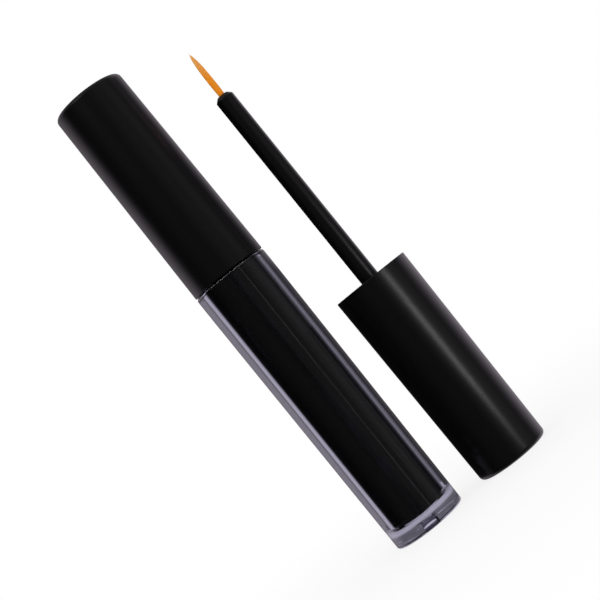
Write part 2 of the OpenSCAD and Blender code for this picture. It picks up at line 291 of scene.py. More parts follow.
class EyelinerFinish(bpy.types.PropertyGroup):
    """Colours of the finishes and sizes of their textures"""

    clear: colour("Clear plastic", "Faint lavender of the clear plastic", "#b4b0c6")
    pigment: colour("Liquid", "Carbon black pigment", "#050507")
    film: colour("Film", "Thinner film between the darker streaks", "#1d1b22")
    cap: colour("Outer cap", "Matt black of the outer caps", "#040304")
    insert: colour("Insert", "Black of the threaded inserts", "#080709")
    stem: colour("Stem", "Black of the stems", "#040304")
    undyed: colour("Wiper", "Milky undyed plastic of the wiper", "#e6e4de")
    foam: colour("Washer", "White foamed plastic of the washers", "#efefec")
    hair_root: colour("Hair root", "Dyed hairs where they leave the stem", "#fba322")
    hair_middle: colour("Hair middle", "Dyed hairs halfway along", "#fdad2c")
    # The paler tip colour is painted light: it stands in for the white backdrop shining through the thin
    # tips.
    painted_backlit_hair_tip: colour("Hair tip", "Dyed hairs at their thin tips", "#fec970")
    # A real spark-eroded grain is a few hundredths of a millimetre wide, so it is drawn coarser to show.
    grain: size("Grain", "Width of the moulded grain", 0.00025)
    streak_width: size("Streak width", "Width of one streak in the liquid", 0.0014)
    streak_length: size("Streak length", "Length of a streak in the liquid and of a flow mark", 0.035)
    flow: size("Flow marks", "Width of one flow mark in the clear plastic", 0.003)
    foam_cell: size("Foam cells", "Width of a cell of the foamed washer", 0.00018)


class EyelinerStage(bpy.types.PropertyGroup):
    """Camera, floor and light"""

    camera_x: bpy.props.FloatProperty(
        name="Camera offset", description="Sideways place of the camera", default=-0.00288, unit="LENGTH"
    )
    distance: size("Distance", "From the two axes to the camera", 0.300)
    eye_level: size("Eye level", "Height of the camera over the floor", 0.04216)
    pitch: angle("Pitch", "How far the camera looks up", 1.559)
    roll: angle("Roll", "How far the camera is turned about its line of sight", 38.86)
    field: angle("Field of view", "Width of the camera's view", 22.332)
    floor_radius: size("Floor radius", "Radius of the floor", 0.16)
    floor: colour("Floor", "Pale paper floor", "#f2f2f2")
    key_power: power("Key power", "Power of the soft lamp in front", 0.1)
    strip_width: size("Strip width", "Width of the upright strip light", 0.026)
    strip_height: size("Strip height", "Height of the upright strip light", 0.060)
    strip_power: power("Strip power", "Power of the strip light", 0.024)
    brush_power: power("Brush power", "Power of the lamp for the brush", 0.1)
    canopy_side: size("Canopy side", "Side of the square lamp over the bottle", 0.45)
    canopy_power: power("Canopy power", "Power of the lamp over the bottle", 0.8)
    card_depth: size("Card depth", "Depth of the grey card between the items", 0.12)
    card_front: size("Card front", "How far the grey card reaches in front of the axes", 0.0035)
    back_card: size("Back card", "How far the small card stands behind the bottle's axis", 0.020)


GROUPS = {
    "eyeliner_bottle": EyelinerBottle,
    "eyeliner_thread": EyelinerThread,
    "eyeliner_seals": EyelinerSeals,
    "eyeliner_stem": EyelinerStem,
    "eyeliner_cap": EyelinerCap,
    "eyeliner_finish": EyelinerFinish,
    "eyeliner_stage": EyelinerStage,
}


def turned(profile, closed=False):
    """A solid turned from (radius, height) points. A closed profile joins its last point to its first."""
    bm = bmesh.new()
    verts = [bm.verts.new((radius, 0, height)) for radius, height in profile]
    ends = verts[1:] + verts[:1] if closed else verts[1:]
    edges = [bm.edges.new(both) for both in zip(verts, ends)]
    bmesh.ops.spin(
        bm, geom=verts + edges, cent=(0, 0, 0), axis=(0, 0, 1), angle=FULL_TURN, steps=ROUND_STEPS,
        use_merge=True,
    )
    bmesh.ops.remove_doubles(bm, verts=bm.verts[:], dist=SAME_PLACE)
    bmesh.ops.recalc_face_normals(bm, faces=bm.faces[:])
    return bm


def round_edge(bm, radius, height, width, segments=EDGE_SEGMENTS):
    """Rounds the edge that runs round the solid at one radius and height."""
    ring = [
        edge for edge in bm.edges
        if all(
            abs(vert.co.xy.length - radius) < SAME_PLACE and abs(vert.co.z - height) < SAME_PLACE
            for vert in edge.verts
        )
    ]
    if not ring:
        raise RuntimeError(f"no edge at radius {radius} and height {height}")
    bevel(bm, ring, width, segments)


def bevel(bm, edges, width, segments=EDGE_SEGMENTS):
    """Rounds some edges."""
    bmesh.ops.bevel(
        bm, geom=edges, offset=width, offset_type="OFFSET", segments=segments, profile=0.5,
        affect="EDGES", material=-1, clamp_overlap=True,
    )


def ridge(thread, wall, start, first_angle, side):
    """A helical ridge on a wall: side is 1 on the outside of a neck and -1 inside a cap."""
    widening = (thread.foot_width - thread.crest_width) * thread.sink / thread.depth
    foot_half = (thread.foot_width + widening) / 2
    crest_half = thread.crest_width / 2
    foot = wall - side * thread.sink
    crest = wall + side * thread.depth
    steps = round(THREAD_STEPS * thread.length / FULL_TURN)
    climb = thread.pitch * thread.length / FULL_TURN / steps
    bm = bmesh.new()
    corners = [(foot, -foot_half), (crest, -crest_half), (crest, crest_half), (foot, foot_half)]
    face = bm.faces.new([bm.verts.new((radius, 0, start + z)) for radius, z in corners])
    first_turn = Matrix.Rotation(first_angle, 4, "Z")
    bmesh.ops.transform(bm, matrix=first_turn, verts=bm.verts[:])
    step = Matrix.Translation((0, 0, climb)) @ Matrix.Rotation(thread.length / steps, 4, "Z")
    rings = [list(face.verts)]
    for number in range(steps):
        made = bmesh.ops.extrude_face_region(bm, geom=[face])["geom"]
        # An extrusion keeps the face that it starts from, which only the first end needs.
        if number:
            bm.faces.remove(face)
        face = next(item for item in made if isinstance(item, bmesh.types.BMFace))
        bmesh.ops.transform(bm, matrix=step, verts=face.verts[:])
        rings.append(list(face.verts))
    crests = []
    for number, ring in enumerate(rings):
        along = thread.length * number / steps
        grown = min(1, along / thread.run_out, (thread.length - along) / thread.run_out)
        # The ridge rises smoothly out of its wall at one end and sinks into it at the other.
        grown = grown * grown * (3 - 2 * grown)
        radius = wall + side * (thread.depth * grown - thread.sink / 2 * (1 - grown))
        high = [vert for vert in ring if abs(vert.co.xy.length - crest) < SAME_PLACE]
        for vert in high:
            vert.co.xy *= radius / crest
        crests += high
    kept = set(crests)
    # The long edges of the crest, and none of the short ones across it
    lines = [
        edge for edge in bm.edges
        if kept.issuperset(edge.verts) and abs(edge.verts[0].co.z - edge.verts[1].co.z) < crest_half
    ]
    bmesh.ops.recalc_face_normals(bm, faces=bm.faces[:])
    bevel(bm, lines, thread.crest_round)
    return bm


def shoulder_height(bottle):
    """Height of the bottle's shoulder, just under the cap's mouth."""
    return CAP_LOW.z - bottle.shoulder_gap


def splines(cap, radius, height, width, low, high):
    """Straight ribs round a wall, from a radius outwards."""
    bm = bmesh.new()
    for number in range(cap.splines):
        made = bmesh.ops.create_cube(bm, size=1)["verts"]
        place = (
            Matrix.Rotation(FULL_TURN * number / cap.splines, 4, "Z")
            @ Matrix.Translation((radius + height / 2, 0, (low + high) / 2))
            @ Matrix.Diagonal((height, width, high - low, 1))
        )
        bmesh.ops.transform(bm, matrix=place, verts=made)
    return bm


def as_object(bm, name):
    """A mesh object with the bmesh's shape, and the bmesh freed."""
    mesh = bpy.data.meshes.new(name)
    bm.to_mesh(mesh)
    bm.free()
    made = bpy.data.objects.new(name, mesh)
    bpy.context.collection.objects.link(made)
    return made


def combined(operation, body, tool):
    """Two solids joined into one, or one cut out of the other."""
    base, cutter = as_object(body, "base"), as_object(tool, "tool")
    boolean = base.modifiers.new("Boolean", "BOOLEAN")
    boolean.operation = operation
    boolean.object = cutter
    boolean.solver = "EXACT"
    evaluated = base.evaluated_get(bpy.context.evaluated_depsgraph_get())
    bm = bmesh.new()
    bm.from_mesh(evaluated.to_mesh())
    evaluated.to_mesh_clear()
    for used in (base, cutter):
        bpy.data.meshes.remove(used.data)
    bmesh.ops.remove_doubles(bm, verts=bm.verts[:], dist=SAME_PLACE)
    return bm


def piece(bm, name, place, finish, body, node):
    """Makes the shape a piece of the object, in its place and riding on its body."""
    bmesh.ops.transform(bm, matrix=place, verts=bm.verts[:])
    bmesh.ops.recalc_face_normals(bm, faces=bm.faces[:])
    for face in bm.faces:
        face.smooth = True
    for edge in bm.edges:
        edge.smooth = edge.calc_face_angle(math.pi) < SHARP_ANGLE
    made = as_object(bm, name)
    made.data.materials.append(finish)
    normals = made.modifiers.new("Weighted normals", "WEIGHTED_NORMAL")
    normals.keep_sharp = True
    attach(made, body)
    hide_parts(node)


def pair(shape, name, finish, body, node):
    """Makes one shape twice, in the closed set and upside down in the loose applicator."""
    piece(shape.copy(), name, CLOSED_PLACE, finish, body, node)
    piece(shape, f"loose_{name}", LOOSE_PLACE, finish, "loose_applicator", f"loose_{node}")


def add(tree, kind, inputs=None, stops=None, **settings):
    """Adds a node: its settings, its inputs as values, as sockets or as nodes whose first output is meant,
    and a ramp's stops."""
    node = tree.nodes.new(kind)
    for name, value in settings.items():
        setattr(node, name, value)
    for name, value in (inputs or {}).items():
        if isinstance(value, bpy.types.Node):
            value = value.outputs[0]
        if isinstance(value, bpy.types.NodeSocket):
            tree.links.new(value, node.inputs[name])
        else:
            node.inputs[name].default_value = value
    if stops:
        elements = node.color_ramp.elements
        # A new ramp has two stops.
        for _ in stops[2:]:
            elements.new(1)
        for element, (position, shade) in zip(elements, stops):
            element.position = position
            element.color = shade
    return node


NO_TINT = (1, 1, 1)


def grey(level, tint=NO_TINT):
    """A linear grey of some level, tinted if a tint is given."""
    return tuple(level * share for share in tint) + (1,)


def material(name):
    """An empty material and its tree."""
    made = bpy.data.materials.new(name)
    made.use_nodes = True
    made.node_tree.nodes.clear()
    return made, made.node_tree


def finished(made, shader):
    """A material with its last shader joined to its output."""
    add(made.node_tree, "ShaderNodeOutputMaterial", {"Surface": shader})
    return made


def layered(tree, shade, layers):
    """One shade with others laid over it in turn, each where its factor says."""
    for factor, over in layers:
        mixed = add(tree, "ShaderNodeMix", {"Factor": factor, "A": shade, "B": over}, data_type="RGBA")
        shade = mixed.outputs["Result"]
    return shade


def noise(tree, width, centre_x=0.0, length=None, detail=2.0):
    """Object-space noise whose features are as wide as given, and as long along Z if a length is."""
    place = add(tree, "ShaderNodeTexCoord").outputs["Object"]
    stretch = width / length if length else 1.0
    mapped = add(
        tree, "ShaderNodeMapping",
        {"Vector": place, "Location": (-centre_x, 0, 0), "Scale": (1, 1, stretch)},
    )
    return add(tree, "ShaderNodeTexNoise", {"Vector": mapped, "Scale": 1 / width, "Detail": detail})


# How far the grain of a moulded plastic moves its roughness up and down
DULL_SPREAD = 0.06
# Depth of the flow marks in the clear plastic
FLOW_RELIEF = 0.00001
# Refractive index of the liquid as a share of the clear plastic's, matched to the width of the pale bands
# beside the column
WET_INDEX_SHARE = 0.83
# Share of the light on a hair that shines through it
THROUGH_HAIR_SHARE = 0.3


def moulded_plastic(name, shade, grain, roughness, relief):
    """A moulded opaque plastic whose tool leaves a grain of some width and relief."""
    made, tree = material(name)
    pits = noise(tree, grain)
    dull = add(
        tree, "ShaderNodeMapRange",
        {"Value": pits, "To Min": roughness - DULL_SPREAD, "To Max": roughness + DULL_SPREAD},
    )
    bump = add(tree, "ShaderNodeBump", {"Height": pits, "Strength": 1.0, "Distance": relief})
    bsdf = add(
        tree, "ShaderNodeBsdfPrincipled",
        {"Base Color": shade, "IOR": 1.5, "Roughness": dull, "Normal": bump},
    )
    return finished(made, bsdf)


def clear_styrene(finish):
    """Styrene-acrylonitrile moulded in a polished tool: thick walls as clear and bright as glass, with
    faint flow marks."""
    made, tree = material("injection_moulded_clear_styrene")
    flow = noise(tree, finish.flow, CLOSED_X, finish.streak_length)
    bump = add(tree, "ShaderNodeBump", {"Height": flow, "Strength": 1.0, "Distance": FLOW_RELIEF})
    bsdf = add(
        tree, "ShaderNodeBsdfPrincipled",
        {"Base Color": finish.clear, "IOR": 1.57, "Roughness": 0.02, "Transmission Weight": 1.0,
         "Normal": bump},
    )
    return finished(made, bsdf)


def carbon_liquid(finish):
    """Water-based carbon black liquid that wets the wall: black with faint streaks, but a mirror at flat
    angles, because there the light in the denser plastic can't leave it."""
    made, tree = material("carbon_black_liquid")
    streaks = noise(tree, finish.streak_width, CLOSED_X, finish.streak_length, detail=3.0)
    shade = add(tree, "ShaderNodeValToRGB", {"Fac": streaks}, [(0.5, finish.pigment), (0.78, finish.film)])
    black = add(tree, "ShaderNodeBsdfDiffuse", {"Color": shade})
    mirror = add(tree, "ShaderNodeBsdfGlossy", {"Color": grey(0.95), "Roughness": 0.03})
    flat = add(tree, "ShaderNodeFresnel", {"IOR": WET_INDEX_SHARE})
    both = add(tree, "ShaderNodeMixShader", {0: flat, 1: black, 2: mirror})
    return finished(made, both)


def dyed_bristle(finish):
    """Tapered polyester hairs dyed orange: glossy, partly lit through, and painted paler at their thin tips
    as if the backdrop shone through them.
    """
    made, tree = material("dyed_polyester_hair")
    share = add(tree, "ShaderNodeAttribute", attribute_name="root_share")
    shade = add(
        tree, "ShaderNodeValToRGB", {"Fac": share.outputs["Fac"]},
        [(0.0, finish.hair_root), (0.55, finish.hair_middle), (1.0, finish.painted_backlit_hair_tip)],
    )
    solid = add(tree, "ShaderNodeBsdfPrincipled", {"Base Color": shade, "IOR": 1.58, "Roughness": 0.35})
    glow = add(tree, "ShaderNodeBsdfTranslucent", {"Color": shade})
    both = add(tree, "ShaderNodeMixShader", {0: THROUGH_HAIR_SHARE, 1: solid, 2: glow})
    return finished(made, both)


# A hair starts as a prism of unit radius and height, cut across.
HAIR_SIDES = 4
HAIR_CUTS = 7
# By its tip it loses this share of its radius.
HAIR_THIN_SHARE = 0.6
# It ends lower than its neighbours by up to this share of the tuft's length, and leans by up to this share
# of the tuft's radius.
HAIR_SHORT_SHARE = 0.02
HAIR_LEAN_SHARE = 0.03
# The outermost hairs are shorter than the middle ones by this share of the tuft's length.
TUFT_SHORT_SHARE = 0.12
# The hairs within this share of the tuft's radius stand past the others by up to this share of its length.
TUFT_CORE_SHARE = 0.25
TUFT_POINT_SHARE = 0.07
# The tuft swells by this share of its radius over this share of its length above the stem.
TUFT_BELLY_SHARE = 0.12
TUFT_SWELL_SHARE = 0.15
# Powers of the curve that draws its outline in: the share of its length is raised to the first, and what
# that leaves of 1 to the second.
TUFT_TAPER_POWERS = (4.5, 0.73)
TUFT_SEED = 7


def tuft(stem, length):
    """Hairs on their root: the root's top at height 0, the hairs upwards, the longest in the middle."""
    template = bmesh.new()
    bmesh.ops.create_cone(
        template, segments=HAIR_SIDES, radius1=1, radius2=1, depth=1, cap_ends=True,
        matrix=Matrix.Translation((0, 0, 0.5)),
    )
    upright = [edge for edge in template.edges if abs(edge.verts[0].co.z - edge.verts[1].co.z) > 0.5]
    bmesh.ops.subdivide_edges(template, edges=upright, cuts=HAIR_CUTS, use_grid_fill=True)
    share = template.verts.layers.float.new("root_share")
    for vert in template.verts:
        vert[share] = vert.co.z
    hair = bpy.data.meshes.new("hair")
    template.to_mesh(hair)
    template.free()
    draw = random.Random(TUFT_SEED)
    bm = bmesh.new()
    reach = stem.brush_radius - stem.hair_radius
    bend, point = TUFT_TAPER_POWERS
    for number in range(stem.hairs):
        out = math.sqrt((number + 0.5) / stem.hairs)
        turn = number * GOLDEN_TURN
        tip = 1 - TUFT_SHORT_SHARE * out * out + draw.uniform(-HAIR_SHORT_SHARE, 0.0)
        tip += TUFT_POINT_SHARE * max(1 - out / TUFT_CORE_SHARE, 0)
        lean = [draw.uniform(-HAIR_LEAN_SHARE, HAIR_LEAN_SHARE) for _ in range(2)]
        bm.from_mesh(hair)
        bm.verts.ensure_lookup_table()
        for vert in bm.verts[-len(hair.vertices):]:
            climbed = vert.co.z
            height = climbed * (length * tip + stem.root) - stem.root
            along = min(max(height / length, 0), 1)
            # The hairs that still reach this height are spread over the whole outline.
            reaching = min(math.sqrt(max(1 - along, SAME_PLACE) / TUFT_SHORT_SHARE), 1)
            swollen = 1 + TUFT_BELLY_SHARE * min(along / TUFT_SWELL_SHARE, 1)
            drawn = (1 - along ** bend) ** point / reaching * swollen
            thin = stem.hair_radius * (1 - HAIR_THIN_SHARE * climbed ** 3)
            centre = Vector((
                out * math.cos(turn) + lean[0] * along,
                out * math.sin(turn) + lean[1] * along,
            ))
            if centre.length > 1:
                centre.normalize()
            vert.co.xy = vert.co.xy * thin + centre * reach * drawn
            vert.co.z = height
    bpy.data.meshes.remove(hair)
    return bm


class EYELINER_OT_bottle(bpy.types.Operator):
    """Turn the clear bottle and join the thread to its neck"""

    bl_idname = "eyeliner.bottle"
    bl_label = "Bottle"

    def execute(self, context):
        sizes = context.scene.eyeliner_bottle
        thread = context.scene.eyeliner_thread
        shoulder = shoulder_height(sizes)
        gate = sizes.recess_height + sizes.gate_depth
        bm = turned(
            [(sizes.gate_radius * ring / GATE_RINGS, gate) for ring in range(GATE_RINGS + 1)]
            + [
                (sizes.gate_radius, sizes.recess_height),
                (sizes.recess_radius - sizes.recess_height, sizes.recess_height),
                (sizes.recess_radius, 0),
                (sizes.foot_radius, 0),
                (sizes.shoulder_radius, shoulder - sizes.band_height),
                (sizes.shoulder_radius, shoulder),
                (sizes.neck_radius, shoulder),
                (sizes.neck_radius, sizes.neck_top),
                (sizes.cavity_radius, sizes.neck_top),
                (sizes.cavity_radius, WIPER_LOW.z),
                (sizes.cavity_foot_radius, sizes.floor),
                (0, sizes.floor),
            ]
        )
        round_edge(bm, sizes.foot_radius, 0, sizes.foot_round, CORNER_SEGMENTS)
        round_edge(bm, sizes.shoulder_radius, shoulder, sizes.shoulder_round, CORNER_SEGMENTS)
        round_edge(bm, sizes.neck_radius, sizes.neck_top, sizes.neck_bevel)
        round_edge(bm, sizes.cavity_foot_radius, sizes.floor, sizes.cavity_round, CAVITY_SEGMENTS)
        draw = random.Random(GATE_SEED)
        for vert in bm.verts:
            if abs(vert.co.z - gate) < SAME_PLACE and vert.co.xy.length < sizes.gate_radius - SAME_PLACE:
                vert.co.z += draw.uniform(-1, 1) * sizes.gate_scar
        turns = ridge(thread, sizes.neck_radius, shoulder + sizes.thread_start, 0, 1)
        bm = combined("UNION", bm, turns)
        finish = clear_styrene(context.scene.eyeliner_finish)
        piece(bm, "clear_bottle", CLOSED_PLACE, finish, "bottle", "bottle")
        return {"FINISHED"}


class EYELINER_OT_liquid(bpy.types.Operator):
    """Fill the bottle, with room for the stem and the brush"""

    bl_idname = "eyeliner.liquid"
    bl_label = "Liquid"

    def execute(self, context):
        sizes = context.scene.eyeliner_bottle
        low = sizes.floor - sizes.wetting
        foot = sizes.cavity_foot_radius + sizes.wetting
        stem_end = STEM_LOW.z - sizes.tip_room
        brush_end = BRUSH_LOW.z - sizes.tip_room
        bm = turned([
            (0, low), (foot, low), (sizes.cavity_radius + sizes.wetting, sizes.liquid_top),
            (sizes.stem_room, sizes.liquid_top), (sizes.stem_room, stem_end),
            (sizes.brush_room, stem_end), (sizes.brush_room, brush_end), (0, brush_end),
        ])
        round_edge(bm, foot, low, sizes.cavity_round, CAVITY_SEGMENTS)
        finish = carbon_liquid(context.scene.eyeliner_finish)
        piece(bm, "ink", CLOSED_PLACE, finish, "bottle", "liquid")
        return {"FINISHED"}


class EYELINER_OT_seals(bpy.types.Operator):
    """Turn the wiper and the two sealing washers"""

    bl_idname = "eyeliner.seals"
    bl_label = "Wiper and washers"

    def execute(self, context):
        sizes = context.scene.eyeliner_seals
        colours = context.scene.eyeliner_finish
        low, high = WIPER_LOW.z, WIPER_HIGH.z
        under = high - sizes.flange
        cone_top = low + sizes.cone
        bm = turned([
            (sizes.lip_radius, low), (sizes.lip_radius + sizes.lip, low), (sizes.tube_radius, cone_top),
            (sizes.tube_radius, under), (sizes.flange_radius, under), (sizes.flange_radius, high),
            (sizes.bore_radius, high), (sizes.bore_radius, cone_top + sizes.lip),
            (sizes.lip_radius, low + sizes.lip),
        ], closed=True)
        for radius, height in ((sizes.bore_radius, high), (sizes.flange_radius, high)):
            round_edge(bm, radius, height, sizes.edge)
        # Undyed polyethylene is milky and waxy.
        finish = moulded_plastic(
            "moulded_undyed_polyethylene", colours.undyed, colours.grain, roughness=0.32, relief=0.000004
        )
        piece(bm, "neck_wiper", CLOSED_PLACE, finish, "bottle", "wiper")

        outer = radius_of(WASHER_LOW, WASHER_HIGH)
        low, high = WASHER_LOW.z, WASHER_HIGH.z
        ring = [(sizes.washer_bore, low), (outer, low), (outer, high), (sizes.washer_bore, high)]
        bm = turned(ring, closed=True)
        for radius, height in ring:
            round_edge(bm, radius, height, sizes.edge)
        # Foamed polyethylene sheet is white, dull and pitted with cells.
        finish = moulded_plastic(
            "punched_polyethylene_foam", colours.foam, colours.foam_cell, roughness=0.6, relief=0.00003
        )
        pair(bm, "sealing_washer", finish, "washer", "gasket")
        return {"FINISHED"}


class EYELINER_OT_stems(bpy.types.Operator):
    """Turn the two stems"""

    bl_idname = "eyeliner.stems"
    bl_label = "Stems"

    def execute(self, context):
        sizes = context.scene.eyeliner_stem
        colours = context.scene.eyeliner_finish
        low, high = STEM_LOW.z, STEM_HIGH.z
        neck = high - sizes.head
        bm = turned([
            (0, low + sizes.socket), (sizes.socket_radius, low + sizes.socket),
            (sizes.socket_radius, low), (sizes.radius - sizes.tip_bevel, low),
            (sizes.radius, low + sizes.tip_bevel), (sizes.radius, neck),
            (sizes.head_radius, neck), (sizes.head_radius, high), (0, high),
        ])
        round_edge(bm, sizes.radius - sizes.tip_bevel, low, sizes.tip_round)
        round_edge(bm, sizes.radius, low + sizes.tip_bevel, sizes.tip_round)
        round_edge(bm, sizes.head_radius, high, sizes.head_edge)
        # Acetal from a fine tool is black with a satin gleam.
        finish = moulded_plastic(
            "moulded_black_acetal", colours.stem, colours.grain, roughness=0.3, relief=0.000004
        )
        pair(bm, "applicator_stem", finish, "rod", "stem")
        return {"FINISHED"}


class EYELINER_OT_brushes(bpy.types.Operator):
    """Set the tapered hairs of the two brushes"""

    bl_idname = "eyeliner.brushes"
    bl_label = "Brushes"

    def execute(self, context):
        sizes = context.scene.eyeliner_stem
        bm = tuft(sizes, BRUSH_HIGH.z - sizes.root - BRUSH_LOW.z)
        hang = Matrix.Translation((0, 0, BRUSH_HIGH.z - sizes.root)) @ UPSIDE_DOWN
        bmesh.ops.transform(bm, matrix=hang, verts=bm.verts[:])
        finish = dyed_bristle(context.scene.eyeliner_finish)
        pair(bm, "brush_hairs", finish, "rod", "brush")
        return {"FINISHED"}


class EYELINER_OT_inserts(bpy.types.Operator):
    """Turn the two threaded inserts, with their threads and splines"""

    bl_idname = "eyeliner.inserts"
    bl_label = "Threaded inserts"

    def execute(self, context):
        cap = context.scene.eyeliner_cap
        thread = context.scene.eyeliner_thread
        bottle = context.scene.eyeliner_bottle
        colours = context.scene.eyeliner_finish
        low, high = INNER_LOW.z, INNER_HIGH.z
        pocket_top = WASHER_HIGH.z + cap.seat
        web_top = pocket_top + cap.web
        snap_low = STEM_HIGH.z + cap.seat
        boss_top = snap_low + cap.snap
        bead_top = WASHER_LOW.z - cap.play - cap.seat
        bead_low = bead_top - cap.bead
        bm = turned([
            (cap.thread_bore, low), (cap.insert_radius, low), (cap.insert_radius, high),
            (cap.crown_radius, high), (cap.crown_radius, web_top), (cap.boss_radius, web_top),
            (cap.boss_radius, boss_top), (cap.snap_radius, boss_top), (cap.snap_radius, snap_low),
            (cap.head_bore, snap_low), (cap.head_bore, web_top), (cap.stem_bore, web_top),
            (cap.stem_bore, pocket_top), (cap.pocket_radius, pocket_top),
            (cap.pocket_radius, bead_top), (cap.bead_radius, bead_top),
            (cap.bead_radius, bead_low), (cap.thread_bore, bead_low - cap.thread_bore + cap.bead_radius),
        ], closed=True)
        for radius, height in (
            (cap.thread_bore, low), (cap.insert_radius, low), (cap.insert_radius, high),
            (cap.crown_radius, high), (cap.boss_radius, boss_top),
        ):
            round_edge(bm, radius, height, cap.edge)
        lead = thread.pitch * thread.lead / FULL_TURN
        start = shoulder_height(bottle) + bottle.thread_start - thread.pitch / 2 + lead
        bm = combined("UNION", bm, ridge(thread, cap.thread_bore, start, thread.lead, -1))
        sunk = cap.insert_radius - cap.seat
        ribs = splines(cap, sunk, cap.spline_height + cap.seat, cap.spline_width, bead_top, high - cap.edge)
        bm = combined("UNION", bm, ribs)
        # Polypropylene is black with a waxy, rather dull gleam.
        finish = moulded_plastic(
            "moulded_black_polypropylene", colours.insert, colours.grain, roughness=0.38, relief=0.000006
        )
        pair(bm, "threaded_insert", finish, "cap", "inner_cap")
        return {"FINISHED"}


class EYELINER_OT_caps(bpy.types.Operator):
    """Turn the two matt outer caps"""

    bl_idname = "eyeliner.caps"
    bl_label = "Outer caps"

    def execute(self, context):
        cap = context.scene.eyeliner_cap
        colours = context.scene.eyeliner_finish
        low, high = CAP_LOW.z, CAP_HIGH.z
        step = INNER_HIGH.z + cap.seat
        bm = turned([
            (0, high), (cap.end_radius, high), (cap.mouth_radius, low), (cap.bore_radius, low),
            (cap.bore_radius, step), (cap.bore_radius - cap.step, step),
            (cap.end_radius - cap.end_wall, high - cap.end), (0, high - cap.end),
        ])
        round_edge(bm, cap.end_radius, high, cap.end_round, END_SEGMENTS)
        round_edge(bm, cap.mouth_radius, low, cap.edge, MOUTH_SEGMENTS)
        round_edge(bm, cap.bore_radius, low, cap.edge, MOUTH_SEGMENTS)
        sunk = cap.insert_radius - cap.seat
        grooves = splines(
            cap, sunk, cap.spline_height + 2 * cap.seat, cap.spline_width + 2 * cap.seat,
            WASHER_LOW.z - cap.play - 2 * cap.seat, step,
        )
        bm = combined("DIFFERENCE", bm, grooves)
        # Styrene from a spark-eroded tool is a deep matt black with broad, soft highlights.
        finish = moulded_plastic(
            "spark_eroded_matt_black_styrene", colours.cap, colours.grain, roughness=0.31, relief=0.000008
        )
        pair(bm, "matt_cap", finish, "cap", "outer_cap")
        return {"FINISHED"}


# Brightness of the room in gloss, by compass angle in degrees: 0 is behind the set, 90 on its right and
# 180 behind the camera. Wide panels stand behind on both sides, with a narrow one between them, a faint
# one stands in front on the right, and a strip at 146 draws the thin line down the bottle.
ROOM = [
    (-180, 0.06), (-157, 0.08), (-133, 0.06), (-106, 0.015), (-92, 0.01), (-84, 0.08), (-74, 0.48),
    (-60, 0.62), (-40, 0.48), (-24, 0.28), (-10, 0.3), (-4, 0.6), (4, 0.6), (10, 0.35), (20, 0.58),
    (34, 0.82), (60, 0.75), (76, 0.32), (90, 0.03), (104, 0.2), (113, 0.27), (129, 0.17), (140, 0.11),
    (144, 0.13), (146, 0.5), (148, 0.13), (163, 0.13), (176, 0.06),
]
# The same for what shows through the clear plastic: a panel behind, and a faint one on the right
ROOM_THROUGH = [
    (-180, 0.03), (-100, 0.03), (-60, 0.05), (-40, 0.05), (-33, 0.12), (-29, 0.25), (-24, 0.6), (-19, 0.8),
    (-12, 0.87), (-7, 0.85), (0, 0.68), (5, 0.4), (9, 0.25), (13, 0.2), (16, 0.08), (22, 0.04), (38, 0.04),
    (46, 0.25), (52, 0.3), (80, 0.33), (95, 0.1), (180, 0.03),
]
# The panels in gloss are faintly lilac less than this compass angle from straight behind.
LILAC_SIDES = 90
LILAC = (1.0, 0.9, 1.02)
# What takes over above the panels in gloss: the sines of the heights between which it does, and its
# brightness
CEILING = (0.45, 0.8, 0.25)
# The same through the clear plastic: a dim wall, then the lit ceiling
RISE_THROUGH = [(0.08, 0.12, 0.22), (0.16, 0.26, 1.0)]
# Brightness of the room for the light that a dull surface scatters
OPEN_SHADE = 0.9

# The paper's own white makes up this share of what the camera sees of it near the set, and grows from
# this distance until it is all, at this share of the floor's radius. The rest takes the soft shadow.
PAPER_WHITE_SHARE = 0.8
SHADOW_START = 0.02
SHADOW_END_SHARE = 0.8
# Distances from the bottle's axis between which the paper changes as seen through the clear plastic: it has
# a painted glow under the bottle, a painted shadow in grey round it, a fainter painted glow past that, and
# then gives way to the room.
PAINTED_GLOW_ENDS = (0.005, 0.006)
# Painted shadow: the ring round the bottle where the paper is painted grey, and its grey
PAINTED_SHADOW_ENDS = (0.016, 0.0195)
PAPER_ENDS = (0.022, 0.034)
PAINTED_SHADOW_GREY = 0.35
PAINTED_FAINT_GLOW = 0.35

# The grey card's face towards the closed set, beside the bottle and beside its cap, as (depth, depth,
# brightness, brightness): it grows brighter from its front edge back.
CARD_BY_BOTTLE = (-0.0018, 0.001, 0.06, 0.12)
CARD_BY_CAP = (-0.0028, 0.001, 0.1, 0.52)
# Heights between which the one turns into the other
CARD_CHANGE = (0.058, 0.064)
# Brightness of its face towards the loose applicator
CARD_BY_LOOSE = 0.015
# Brightness of the small card close behind the bottle, by distance to the right of the bottle's axis
BACK_CARD = [
    (-0.0015, 0.18), (0.0015, 0.2), (0.0035, 0.36), (0.0055, 0.46), (0.008, 0.33), (0.010, 0.27),
    (0.012, 0.16),
]
RAY_KINDS = [
    "visible_camera", "visible_diffuse", "visible_glossy", "visible_transmission", "visible_shadow",
]

# Places of the lamps, and the sides of the two small square ones
KEY_PLACE = Vector((-0.16, -0.28, 0.37))
KEY_SIDE = 0.22
STRIP_PLACE = Vector((0.103, -0.120, 0.020))
BRUSH_LIGHT_PLACE = Vector((LOOSE_X - 0.04, -0.2, 0.16))
BRUSH_LIGHT_SIDE = 0.12
CANOPY_PLACE = Vector((CLOSED_X, -0.06, 0.30))
# The camera doesn't see what is nearer than this.
NEAREST_SEEN = 0.01


def room_stops(panels, lilac_sides=0):
    """A ramp's stops from compass angles and brightnesses, lilac less than some angle from behind."""
    return [
        (degrees / 360 + 0.5, grey(level, LILAC if abs(degrees) < lilac_sides else NO_TINT))
        for degrees, level in panels
    ]


